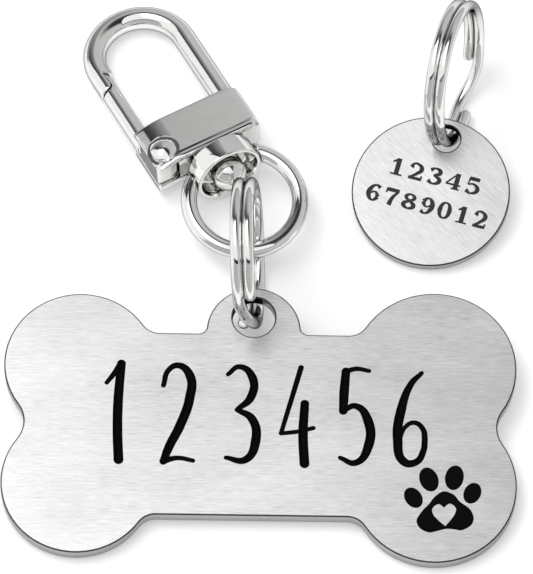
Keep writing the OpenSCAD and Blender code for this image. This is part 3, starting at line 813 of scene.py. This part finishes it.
def split_ring(name, outer_r, gauge, cross_from, cross_to, place):
    """Two turns of wire that change lanes between two angles, in degrees from the tag's hole."""
    mid_r = outer_r - gauge / 2
    lane = gauge * LANE_SHARE
    cross_from, cross_to = math.radians(cross_from), math.radians(cross_to)
    tip = gauge / 2 / mid_r
    first, last = cross_to, 4 * math.pi + cross_from
    count = round((last - first) / (2 * math.pi) * RING_STEPS)
    stops = [(first + (last - first) * i / count) for i in range(count + 1)]
    rounds = [first + tip * (1 - math.cos(a * math.pi / 16)) for a in range(1, 8)]
    stops += rounds + [first + last - s for s in rounds]
    stops.sort()
    data = wire_curve(name, gauge / 2, 10)
    spline = data.splines.new("POLY")
    spline.points.add(len(stops) - 1)
    for point, angle in zip(spline.points, stops):
        t = (angle - 2 * math.pi - cross_from) / (cross_to - cross_from)
        x = lane * (2 * ease(t) - 1)
        near_end = min(angle - first, last - angle)
        share = 1.0
        if near_end < tip:
            share = 0.35 + 0.65 * math.sqrt(max(0.02, 1 - (1 - near_end / tip) ** 2))
        point.co = (x * MM, mid_r * math.cos(angle) * MM, mid_r * math.sin(angle) * MM, 1)
        point.radius = share
    obj = mesh_from(name, data)
    coat(obj, ring_steel)
    smooth(obj, 60)
    seat(obj, place)
    return obj


def ring_frame(centre, axis, hole):
    return frame_from(axis, hole - centre, centre)


bone_ring_frame = ring_frame(
    point_of("bail_slide_round"), axis_of("bail_slide_round"), point_of("bone_ring_swing")
)
bone_ring = split_ring(
    "bone_split_ring_tight", BONE_RING_R, BONE_RING_WIRE, -66, -16, bone_ring_frame
)
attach(bone_ring, "bone_ring")
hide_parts("bone_split_ring")

ring_low, ring_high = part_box("disc_split_ring")
disc_ring_axis = Matrix.Rotation(DISC_HEADING, 3, "Z") @ Vector(
    (math.cos(DISC_RING_LEAN), 0, math.sin(DISC_RING_LEAN))
)
disc_ring_frame = ring_frame(
    (ring_low + ring_high) / 2, disc_ring_axis, point_of("round_ring_swing")
)
disc_ring = split_ring(
    "round_tag_split_ring_tight", DISC_RING_R, DISC_RING_WIRE, 46, 90, disc_ring_frame
)
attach(disc_ring, "round_ring")
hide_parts("disc_split_ring")
print("rings' faces:", len(bone_ring.data.polygons), len(disc_ring.data.polygons))

# %% [markdown]
# The bail is a ring of bright round wire whose ends are cut off flat beside the cup, with a pin in
# each end that turns in the cup's wall. A torus is the start, a block cuts away the part that the
# cup fills, the cut edges are broken with a small bevel, and the pins are joined on.

# %% Bail
BAIL_R, BAIL_WIRE, PIN_R = 5.5, 1.6, 0.6
BAIL_CUT = CUP_R + 0.1
BAIL_REACH = math.sqrt(BAIL_R**2 - BAIL_CUT**2)
PIN_INNER, PIN_OUTER = 2.5, BAIL_CUT + 0.4
bail = torus("bail_bright_wire", (BAIL_REACH, 0, 0), BAIL_R, BAIL_WIRE / 2, 160, 40)
cut(bail, block((-3, -BAIL_CUT, -2), (BAIL_REACH, BAIL_CUT, 2)))
choose(bail, "EDGE", lambda e: all(abs(abs(p.y) - BAIL_CUT) < 0.001 for p in ends_of(bail, e)))
bpy.ops.mesh.bevel(offset=0.1 * MM, segments=3, profile=0.5)
done()
for low, high in ((PIN_INNER, PIN_OUTER), (-PIN_OUTER, -PIN_INNER)):
    cut(bail, cylinder(PIN_R, low, high, "Y", (0, 0), 40), "UNION")
coat(bail, nickel)
smooth(bail, 40)
# The bail slopes down from the pins to where its wire passes through the split ring
BAIL_SLOPE = math.radians(3.53605)
level = Vector((swivel.x, swivel.y, 0)).normalized()
bail_frame = frame_from(
    level * math.cos(BAIL_SLOPE) - Vector((0, 0, math.sin(BAIL_SLOPE))), across, pins
)
seat(bail, bail_frame)
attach(bail, "bail")
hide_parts("bail_ring")


# %% [markdown]
# The cup, the post and the rivet are turned parts, so each is made as a lathe makes it: half of
# its section is drawn as a chain of edges and spun once round its axis. Every corner of the
# section is drawn as a small arc, because a corner that isn't sharp is what gives a turned edge
# its bright line.

# %% Turned parts
ARC_STEPS = 5


def rounded(points):
    """The points of a section with corners (x, r, radius) turned into short arcs, in mm."""
    made = []
    count = len(points)
    for i, (x, r, radius) in enumerate(points):
        here = Vector((x, r))
        if radius == 0:
            made.append(here)
            continue
        before = (Vector(points[i - 1][:2]) - here).normalized()
        after = (Vector(points[(i + 1) % count][:2]) - here).normalized()
        angle = before.angle(after)
        reach = radius / math.tan(angle / 2)
        middle = here + (before + after).normalized() * (radius / math.sin(angle / 2))
        start = here + before * reach - middle
        end = here + after * reach - middle
        for k in range(ARC_STEPS + 1):
            t = k / ARC_STEPS
            spoke = (start * (1 - t) + end * t).normalized() * radius
            made.append(middle + spoke)
    return made


def turned(name, points, closed, place, steps=96):
    """Spins a section of (along x, radius, corner radius) about the x axis, and seats it."""
    section = rounded(points)
    data = bpy.data.meshes.new(name)
    edges = [(i, i + 1) for i in range(len(section) - 1)]
    if closed:
        edges.append((len(section) - 1, 0))
    data.from_pydata([(p[0] * MM, p[1] * MM, 0) for p in section], edges, [])
    obj = new_object(name, data)
    choose_all(obj)
    bpy.ops.mesh.spin(steps=steps, angle=2 * math.pi, center=(0, 0, 0), axis=(1, 0, 0))
    bpy.ops.mesh.select_all(action="SELECT")
    bpy.ops.mesh.remove_doubles(threshold=0.001 * MM)
    bpy.ops.mesh.normals_make_consistent(inside=False)
    done()
    coat(obj, nickel)
    smooth(obj, 38)
    seat(obj, place)
    return obj


def dome(reach, radius, height, count=14):
    """Points of a dome on the x axis, from its crown to its foot, without corner radii."""
    ball = (radius**2 + height**2) / (2 * height)
    widest = math.asin(min(1, radius / ball))
    angles = [widest * i / count for i in range(count + 1)]
    return [(reach - ball * (1 - math.cos(a)), ball * math.sin(a), 0) for a in angles]


# %% [markdown]
# The cup holds the post's domed head and turns on the bail's pins. It is a little shorter than the
# CAD's, which keeps it clear of the base. The post goes through the cup's floor and the hook's
# bridge, and its end is riveted over, so the hook can turn but not come off.

# %% Cup and post
CUP_BACK, CUP_MOUTH, CUP_BORE = 2.4, 0.38, 1.05
INNER_R = CUP_R - CUP_WALL
cup_section = [
    (0, CUP_R - CUP_MOUTH, 0.08), (0, CUP_R, 0.12),
    (-CUP_BACK, CUP_R, 0.35), (-CUP_BACK, CUP_BORE, 0.1),
    (-CUP_BACK + CUP_FLOOR, CUP_BORE, 0.1), (-CUP_BACK + CUP_FLOOR, INNER_R, 0.3),
    (-0.9, INNER_R, 0),
]
cup = turned("swivel_cup_turned", cup_section, True, hook_frame)
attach(cup, "cup")
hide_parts("swivel_cup")

# Places along the swivel where the post's radius changes, from its head to its riveted end
HEAD_R, HEAD_OUT, POST_R, COLLAR_R = 1.75, 1.45, 1.0, 1.3
HEAD_FOOT, COLLAR_FRONT, COLLAR_BACK = -1.72, -CUP_BACK - 0.06, -4.2
BRIDGE_BACK, POST_END = -5.42, -5.9
post_section = dome(HEAD_OUT, HEAD_R, 0.72 * HEAD_R) + [
    (HEAD_FOOT, HEAD_R, 0.15), (HEAD_FOOT, POST_R, 0),
    (COLLAR_FRONT, POST_R, 0), (COLLAR_FRONT, COLLAR_R, 0.1),
    (COLLAR_BACK, COLLAR_R, 0.05), (COLLAR_BACK, POST_R, 0),
    (BRIDGE_BACK, POST_R, 0), (BRIDGE_BACK, COLLAR_R, 0),
    (POST_END, COLLAR_R, 0.15), (POST_END, 0, 0),
]
post = turned("swivel_post_turned", post_section, False, hook_frame)
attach(post, "hook")
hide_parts("swivel_post")
print("turned parts:", len(cup.data.polygons), len(post.data.polygons))

# %% [markdown]
# The hook is a casting: a round rod bent into an arch and a leg, which flows into a hollow base of
# two plates. The arch is half a torus, and the leg and the nose are cylinders that overlap it. The
# nose ends in a step, behind which the gate's tongue lies.

# %% Hook: arch, leg and nose
ROD_R, ARCH_R, ARCH_LEN, ARCH_OFF = 1.15, 5.9, 17.3, 0.85
ARCH_MID = ARCH_R - ROD_R
BASE_T, BASE_FRONT, BASE_BACK = 4.4, 3.0, 8.2
BASE_LEFT, BASE_RIGHT, PLATE_T = 6.4, 5.05, 0.8
CORE_T = BASE_T - 2 * PLATE_T
NOSE_Y, NOSE_END = -(ARCH_OFF + ARCH_MID), -14.6
WALL_Y, CORE_Y = 2.85, -1.0
RIVET_X, RIVET_Y = -4.729, -4.84


arch = torus("arch", (-ARCH_LEN, -ARCH_OFF, 0), ARCH_MID, ROD_R, 144, 48)
cut(arch, block((-ARCH_LEN, -9, -3), (-8, 7, 3)))
leg = cylinder(ROD_R, -ARCH_LEN - 0.05, -BASE_BACK + 1, "X", (ARCH_MID - ARCH_OFF, 0), 48)
nose = cylinder(ROD_R, -ARCH_LEN - 0.05, NOSE_END, "X", (NOSE_Y, 0), 48)
# The nose and the gate's tongue meet in a step with slanting ends
STEP = [(-16.45, -4.2), (-16.45, -4.94), (-16.9, -5.55), (-15.2, -5.42), (-14.85, -5.62),
        (NOSE_END, -6.5)]
cut(nose, prism(STEP + [(-14.55, -7.5), (-13, -7.5), (-13, -4.2)], -2, 2))
print("hook's rod:", [len(obj.data.polygons) for obj in (arch, leg, nose)])


# %% [markdown]
# The base is made of blocks: two plates, the wall beside the leg, a roof and the bridge that the
# post is riveted in. The front plate has an arc at its upper right corner and a bead along its
# front edge. The whole right side is cut round where it runs into the leg.

# %% Hook: base
def join(objs, name):
    pick(*objs)
    bpy.ops.object.join()
    return name_it(name)


PLATE_FRONT, CORE_HALF, BASE_HALF = 3.5, CORE_T / 2, BASE_T / 2
front = prism(
    [(-PLATE_FRONT, -BASE_LEFT), (-PLATE_FRONT, BASE_RIGHT - 0.5),
     (-PLATE_FRONT - 0.4, BASE_RIGHT), (-BASE_BACK + 1.2, BASE_RIGHT),
     (-BASE_BACK + 0.74, BASE_RIGHT - 0.09), (-BASE_BACK + 0.35, BASE_RIGHT - 0.35),
     (-BASE_BACK + 0.09, BASE_RIGHT - 0.74), (-BASE_BACK, BASE_RIGHT - 1.2),
     (-BASE_BACK, -BASE_LEFT + 0.4), (-BASE_BACK + 0.3, -BASE_LEFT)],
    CORE_HALF,
    BASE_HALF,
)
back = block((-BASE_BACK, -BASE_LEFT, -BASE_HALF), (-BASE_FRONT, BASE_RIGHT, -CORE_HALF))
MERGE = 0.1
core_top = CORE_HALF + MERGE
wall = block((-BASE_BACK, WALL_Y, -BASE_HALF), (-BASE_FRONT, BASE_RIGHT, core_top))
roof = block((-BASE_BACK, CORE_Y, -core_top), (-BASE_BACK + PLATE_T, 3, core_top))
bridge = block((-5.4, CORE_Y, -core_top), (-4.2, 3, core_top))
bead = cylinder(0.4, -BASE_LEFT + 0.2, BASE_RIGHT - 0.5, "Y", (-3.25, BASE_HALF - 0.42), 32)
modify(bead, "BEVEL", width=0.3 * MM, segments=4, limit_method="ANGLE", angle_limit=1.0)
base = join([front, back, wall, roof, bridge], "base")
# The base's right side is round where it runs into the leg: a little above, more below
ROUND_TOP, ROUND_LOW = 0.75, 1.65
corner = block((-BASE_BACK - 1, BASE_RIGHT - ROUND_LOW, -3), (-BASE_FRONT + 1, BASE_RIGHT + 1, 3))
for kept in (
    cylinder(ROUND_TOP, -11, 0, "X", (BASE_RIGHT - ROUND_TOP, BASE_HALF - ROUND_TOP), 64),
    cylinder(ROUND_LOW, -11, 0, "X", (BASE_RIGHT - ROUND_LOW, ROUND_LOW - BASE_HALF), 64),
    block((-11, 0, ROUND_LOW - BASE_HALF), (0, BASE_RIGHT, BASE_HALF - ROUND_TOP)),
    block((-11, 0, 0), (0, BASE_RIGHT - ROUND_TOP, 4)),
):
    cut(corner, kept)
modify(base, "REMESH", mode="VOXEL", voxel_size=0.09 * MM)
cut(base, corner)
print("base's faces:", len(base.data.polygons))


# %% [markdown]
# The forms of a casting melt into each other with small soft inner corners. A remesh does what the
# mould does: the overlapping forms are turned into one skin of small even faces and eased with a
# few strokes of smoothing. What is sharp comes after: the post's bore, the dish round the rivet
# and the groove beside the bead. Last, the front plate is bent down a little.

# %% Hook: one skin, then the sharp cuts
def cast(obj, voxel, strokes):
    """One skin of even faces over all that a piece is made of, eased a little."""
    modify(obj, "REMESH", mode="VOXEL", voxel_size=voxel * MM, adaptivity=0.0)
    modify(obj, "SMOOTH", factor=0.5, iterations=strokes)
    coat(obj, nickel)
    pick(obj)
    bpy.ops.object.shade_smooth()


hook = join([arch, leg, nose, base, bead], "hook_cast")
cast(hook, 0.085, 4)
POST_BORE_R, DISH_R, DISH_DEPTH, GROOVE_DEPTH = 1.02, 1.62, 0.13, 0.2
post_bore = cylinder(POST_BORE_R, -5.6, -4.0, "X", (0, 0), 48)
dish = cylinder(DISH_R, BASE_HALF - DISH_DEPTH, BASE_T, "Z", (RIVET_X, RIVET_Y), 64)
groove_low = (-3.68, -BASE_LEFT - 1, BASE_HALF - GROOVE_DEPTH)
groove = block(groove_low, (-3.54, BASE_RIGHT - 0.5, BASE_T))
for tool in (post_bore, dish, groove):
    coat(tool, nickel)
    cut(hook, tool)
# The front plate bends down toward its free side, ever more from BEND_FROM to BEND_FULL
BEND_FROM, BEND_FULL, BEND_SLOPE, BEND_ABOVE = -3.4, -5.5, 0.38, 1.3
for vertex in hook.data.vertices:
    x, y, z = vertex.co / MM
    if y < BEND_FROM and -BASE_BACK - 0.3 < x < -BASE_FRONT + 0.6 and z > BEND_ABOVE:
        into = min(1, (BEND_FROM - y) / (BEND_FROM - BEND_FULL))
        arc = BEND_SLOPE * (BEND_FROM - BEND_FULL) * into**2 / 2
        drop = arc + BEND_SLOPE * max(0, BEND_FULL - y)
        vertex.co.z -= drop * min(1, (z - BEND_ABOVE) / 0.9) * MM
smooth(hook, 50)
seat(hook, hook_frame)
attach(hook, "hook")
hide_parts("hook_body")
print("hook's faces:", len(hook.data.polygons))

# %% [markdown]
# The gate closes the hook: a round rod whose tongue lies behind the nose, and a flat heel that
# turns on a rivet between the plates. It is made as the hook is, and rides on its own body, so
# that it swings inward.

# %% Gate and rivet
GATE_R, GATE_Y, HEEL_T, GAP = 0.95, -5.7, 2.6, 0.13
rod = cylinder(GATE_R, -17.2, -7.2, "X", (GATE_Y, 0), 48)
# What the tongue loses: the nose's step, with a gap between the two
tongue_step = [
    (-18, -3.9), (-16.45 + GAP, -3.9), (-16.45 + GAP, -4.94), (-16.85 + GAP, -5.5 + GAP / 2),
    (-15.2 + GAP / 2, -5.42 + GAP), (-14.85 + GAP, -5.62 + GAP / 2), (NOSE_END + GAP, -6.5),
    (-14.55 + GAP, -7.5), (-18, -7.5),
]
cut(rod, prism(tongue_step, -2, 2))
heel_outline = [
    (-8.35, -6.3), (-8.35, -4.55), (-5.444, -3.602), (-4.729, -3.41), (-4.014, -3.602),
    (-3.49, -4.125), (-3.299, -4.84), (-3.299, -6.1), (-3.5, -6.3),
]
heel = prism(heel_outline, -HEEL_T / 2, HEEL_T / 2)
gate = join([rod, heel], "gate_cast")
cast(gate, 0.07, 3)
RIVET_BORE_R = 0.55
rivet_bore = cylinder(RIVET_BORE_R, -3, 3, "Z", (RIVET_X, RIVET_Y), 40)
coat(rivet_bore, nickel)
cut(gate, rivet_bore)
smooth(gate, 50)
seat(gate, hook_frame)
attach(gate, "gate")
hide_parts("gate")

# The rivet: a domed head in front, its foot in the plate, and the end hammered over at the back
RIVET_HEAD_R, RIVET_R, RIVET_DOME, RIVET_OUT = 1.3, 0.5, 0.5, 0.4
rivet_foot = CORE_HALF + 0.05
rivet_place = Matrix.Translation(Vector((RIVET_X, RIVET_Y, 0)) * MM)
rivet_frame = hook_frame @ rivet_place @ Matrix.Rotation(-math.pi / 2, 4, "Y")
rivet_section = dome(BASE_HALF + RIVET_OUT, RIVET_HEAD_R, RIVET_DOME) + [
    (rivet_foot, RIVET_HEAD_R, 0), (rivet_foot, RIVET_R, 0),
    (-BASE_HALF, RIVET_R, 0), (-BASE_HALF, 1.04, 0),
    (-BASE_HALF - 0.2, 0.75, 0), (-BASE_HALF - 0.27, 0, 0),
]
rivet = turned("gate_rivet_turned", rivet_section, False, rivet_frame, 64)
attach(rivet, "hook")
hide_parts("gate_rivet")
spring = frame["nodes"]["gate_spring"]
coat(spring, ring_steel)
print("gate's faces:", len(gate.data.polygons))

# %% [markdown]
# The stage is plain: a white floor that goes on for ever and a white surround, with a broad soft
# lamp overhead, one behind on the left and a weak one in front on the right. The floor and the
# world are white to camera, mirror and glass rays alike, and the floor keeps the object's shadow.

# %% Floor and world
def white_where_seen(tree, bare, seen):
    """Mixes two shaders: the second one for camera, mirror and glass rays."""
    path = node(tree, "LightPath", (-900, 300))
    first = node(tree, "Math", (-700, 300), operation="MAXIMUM")
    second = node(tree, "Math", (-500, 300), operation="MAXIMUM")
    mix = node(tree, "MixShader", (200, 0))
    link(tree, path, first, 0, "Is Camera Ray")
    link(tree, path, first, 1, "Is Glossy Ray")
    link(tree, first, second)
    link(tree, path, second, 1, "Is Transmission Ray")
    for into, source in enumerate((second, bare, seen)):
        link(tree, source, mix, into)
    return mix


bpy.ops.mesh.primitive_plane_add(size=4, location=(0, 0, 0))
floor = name_it("floor")
material = bpy.data.materials.new("floor_white")
tree = empty_tree(material)
output = node(tree, "OutputMaterial", (500, 0))
plain = node(tree, "BsdfDiffuse", (-300, 0), Color=(0.82, 0.82, 0.82, 1))
glow = node(tree, "Emission", (-300, -200), Strength=0.22)
lifted = node(tree, "AddShader", (-50, -100))
link(tree, plain, lifted)
link(tree, glow, lifted, 1)
link(tree, white_where_seen(tree, plain, lifted), output)
coat(floor, material)

world = bpy.data.worlds.new("surround")
bpy.context.scene.world = world
tree = empty_tree(world)
output = node(tree, "OutputWorld", (500, 0))
dim = node(tree, "Background", (-100, 100), Strength=0.6)
full = node(tree, "Background", (-100, -100), Strength=1.0)
for background in (dim, full):
    background.inputs["Color"].default_value = (1, 1, 1, 1)
link(tree, white_where_seen(tree, dim, full), output)


# %% Lamps
def lamp(name, place, size, power, mirrored):
    data = bpy.data.lights.new(name, "AREA")
    data.shape = "DISK"
    data.size = size
    data.energy = power
    obj = new_object(name, data)
    obj.location = place
    obj.rotation_mode = "QUATERNION"
    obj.rotation_quaternion = (-Vector(place)).to_track_quat("-Z", "Y")
    obj.visible_glossy = mirrored


lamp("overhead", (-0.17, 0.02, 0.6), 0.42, 1.2, True)
lamp("side", (-0.28, 0.22, 0.5), 0.34, 1.0, False)
lamp("fill", (0.4, -0.3, 0.4), 0.5, 0.4, False)

# %% [markdown]
# Polished metal has no look of its own and shows what stands round it, so a photographer builds a
# tent: grey walls, a white sheet overhead with a dark frame, a white wall on the left, and a dark
# corner between that wall and the back. The tent here is seen by mirror rays only. It lights
# nothing and throws no shadow, but it draws the white bands, the grey ones and the dark lines on
# round wire.

# %% Tent for the mirrors
def mirrors_only(obj):
    obj.visible_camera = obj.visible_diffuse = False
    obj.visible_shadow = obj.visible_transmission = False


def shining(name):
    made = bpy.data.materials.new(name)
    tree = empty_tree(made)
    end = node(tree, "OutputMaterial", (1100, 0))
    shine = node(tree, "Emission", (900, 0))
    link(tree, shine, end)
    return made, tree, shine


def stops(tree, source, at, tones):
    """A tone that goes straight from stop to stop of (degrees, tone)."""
    place = node(tree, "MapRange", at)
    place.inputs["From Min"].default_value = -math.pi
    place.inputs["From Max"].default_value = math.pi
    tones_node = node(tree, "ValToRGB", (at[0] + 200, at[1]))
    band = tones_node.color_ramp
    for i, (degrees, tone) in enumerate(tones):
        spot = (degrees + 180) / 360
        stop = band.elements[i] if i < 2 else band.elements.new(spot)
        stop.position = spot
        stop.color = (tone, tone, tone, 1)
    link(tree, source, place)
    link(tree, place, tones_node)
    return tones_node


# Tones round the walls, by degrees from the back toward the right: low down, and high up
WALLS_LOW = [(-180, 0.5), (180, 0.5), (-126, 0.5), (-123, 1.0), (-66, 1.0), (-62, 0.4),
             (-15, 0.38), (15, 0.54), (60, 0.64), (140, 0.62)]
WALLS_HIGH = [(-180, 0.5), (180, 0.5), (-126, 0.5), (-123, 1.0), (-61, 1.0), (-58, 0.03),
              (-46, 0.07), (-22, 0.28), (-13, 0.36), (-8, 0.56), (40, 0.58), (140, 0.62)]
TENT_R = 1.1
bpy.ops.mesh.primitive_uv_sphere_add(segments=64, ring_count=32, radius=TENT_R)
walls = name_it("tent_walls")
choose(walls, "FACE", lambda f: f.center.z < 0)
bpy.ops.mesh.delete(type="FACE")
done()
made, tree, shine = shining("tent_walls")
coordinates = node(tree, "TexCoord", (-900, 0))
unit = node(tree, "VectorMath", (-700, 0), operation="NORMALIZE")
split = node(tree, "SeparateXYZ", (-500, 0))
heading = node(tree, "Math", (-300, 150), operation="ARCTAN2")
link(tree, coordinates, unit, out="Object")
link(tree, unit, split)
for axis in (0, 1):
    link(tree, split, heading, axis, axis)
low_tone = stops(tree, heading, (-100, 300), WALLS_LOW)
high_tone = stops(tree, heading, (-100, 50), WALLS_HIGH)
height = ramp(tree, (-100, -250), 0.0, 1.0, 0.12, 0.5)
# The walls end dark at the top, behind the white sheet
top = ramp(tree, (-100, -450), 1.0, 0.06, 0.78, 0.9)
between = node(tree, "Mix", (400, 150), data_type="RGBA")
strength = node(tree, "Math", (650, 0), operation="MULTIPLY")
for driven in (height, top):
    link(tree, split, driven, 0, 2)
for socket, source in (("Factor", height), ("A", low_tone), ("B", high_tone)):
    link(tree, source, between, socket)
link(tree, between, strength, 0, "Result")
link(tree, top, strength, 1)
link(tree, strength, shine, "Strength")
coat(walls, made)
mirrors_only(walls)


def sheet(name, corners, height, tone):
    """A level sheet overhead, by its four corners, in metres."""
    bpy.ops.mesh.primitive_plane_add(size=1, location=(0, 0, 0))
    obj = name_it(name)
    for vertex, (x, y) in zip(obj.data.vertices, corners):
        vertex.co = (x, y, height)
    made, tree, shine = shining(name)
    shine.inputs["Strength"].default_value = tone
    coat(obj, made)
    mirrors_only(obj)


# Corners in the order of a new plane: front left, front right, back left, back right
sheet("white_sheet", [(-0.69, -0.48), (0.55, -0.48), (-0.69, 0.31), (-0.07, 0.276)], 0.62, 1.0)
sheet("dark_frame", [(-0.7, -0.6), (0.67, -0.6), (-0.7, 0.33), (-0.05, 0.31)], 0.63, 0.02)
